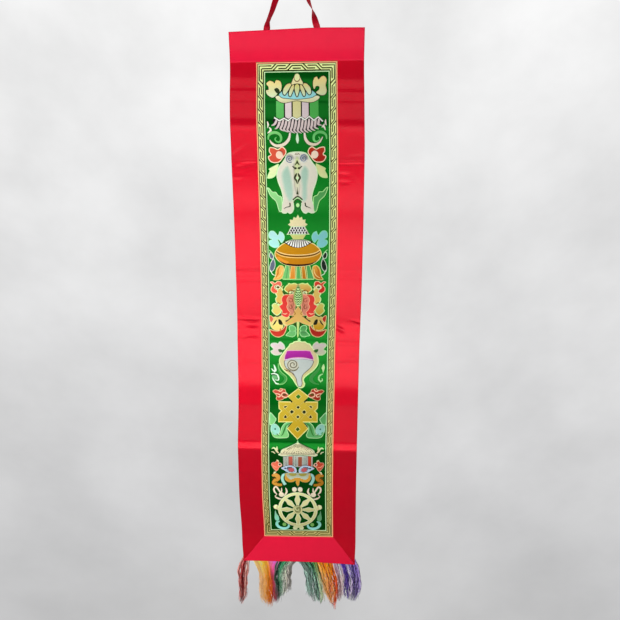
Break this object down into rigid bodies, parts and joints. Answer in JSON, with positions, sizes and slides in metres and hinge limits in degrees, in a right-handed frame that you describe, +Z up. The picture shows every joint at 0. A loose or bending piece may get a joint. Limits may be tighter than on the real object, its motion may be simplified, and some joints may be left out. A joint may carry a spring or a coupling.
{
  "type": "tibetan brocade wall hanging",
  "caption": "Long narrow Tibetan wall hanging: a woven brocade panel of auspicious symbols in a red satin surround, with a ribbon hanging loop and a coloured silk thread fringe.",
  "frame": {"origin": "under the top of the ribbon loop, where the nail or hook bears", "axes": "+Z up along the hanging's length, +X to the right of someone facing the front, +Y back towards the wall, so the front faces -Y"},
  "size_m": [0.2508, 0.0369, 1.282],
  "materials": {
    "satin": "silky satin weave, bright along the grain",
    "brocade": "woven brocade, green ground with gold and coloured floats",
    "ribbon": "satin ribbon",
    "fringe_thread": "loose silk thread in red, yellow, pink, green, orange, lilac and purple"
  },
  "bodies": {
    "root": {"top_strip": "satin", "left_strip": "satin", "right_strip": "satin", "bottom_strip": "satin", "brocade_panel": "brocade", "hanging_loop": "ribbon", "fringe": "fringe_thread"}
  },
  "joints": []
}
